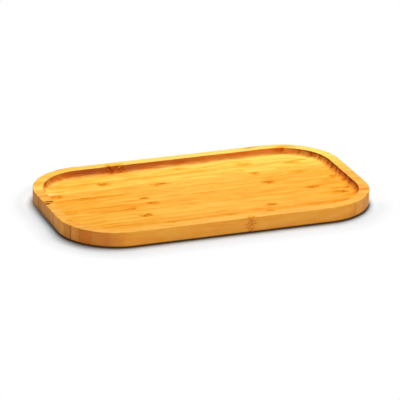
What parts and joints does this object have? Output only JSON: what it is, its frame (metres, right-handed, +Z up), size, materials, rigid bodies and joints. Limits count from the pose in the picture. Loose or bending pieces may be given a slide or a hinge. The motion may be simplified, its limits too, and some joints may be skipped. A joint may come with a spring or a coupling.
{
  "type": "display plate",
  "caption": "Rounded rectangular bamboo plate of upright staves glued side by side, with a flat rim around a shallow recess whose floor turns up into the wall in a cove.",
  "frame": {"origin": "middle of the underside, on the surface that the plate stands on", "axes": "+X along the plate's length and the bamboo's grain, +Y across the staves from the front to the back, +Z up out of the recess"},
  "size_m": [0.245, 0.14, 0.012],
  "materials": {
    "bamboo_pale": "satin clear oil over sanded pale bamboo",
    "bamboo_golden": "satin clear oil over sanded golden bamboo",
    "bamboo_amber": "satin clear oil over sanded amber bamboo"
  },
  "bodies": {
    "root": {"stave_01": "bamboo_golden", "stave_02": "bamboo_golden", "stave_03": "bamboo_amber", "stave_04": "bamboo_golden", "stave_05": "bamboo_amber", "stave_06": "bamboo_golden", "stave_07": "bamboo_golden", "stave_08": "bamboo_golden", "stave_09": "bamboo_golden", "stave_10": "bamboo_amber", "stave_11": "bamboo_golden", "stave_12": "bamboo_golden", "stave_13": "bamboo_golden", "stave_14": "bamboo_golden", "stave_15": "bamboo_golden", "stave_16": "bamboo_pale", "stave_17": "bamboo_pale", "stave_18": "bamboo_pale", "stave_19": "bamboo_pale", "stave_20": "bamboo_pale", "stave_21": "bamboo_pale"}
  },
  "joints": []
}
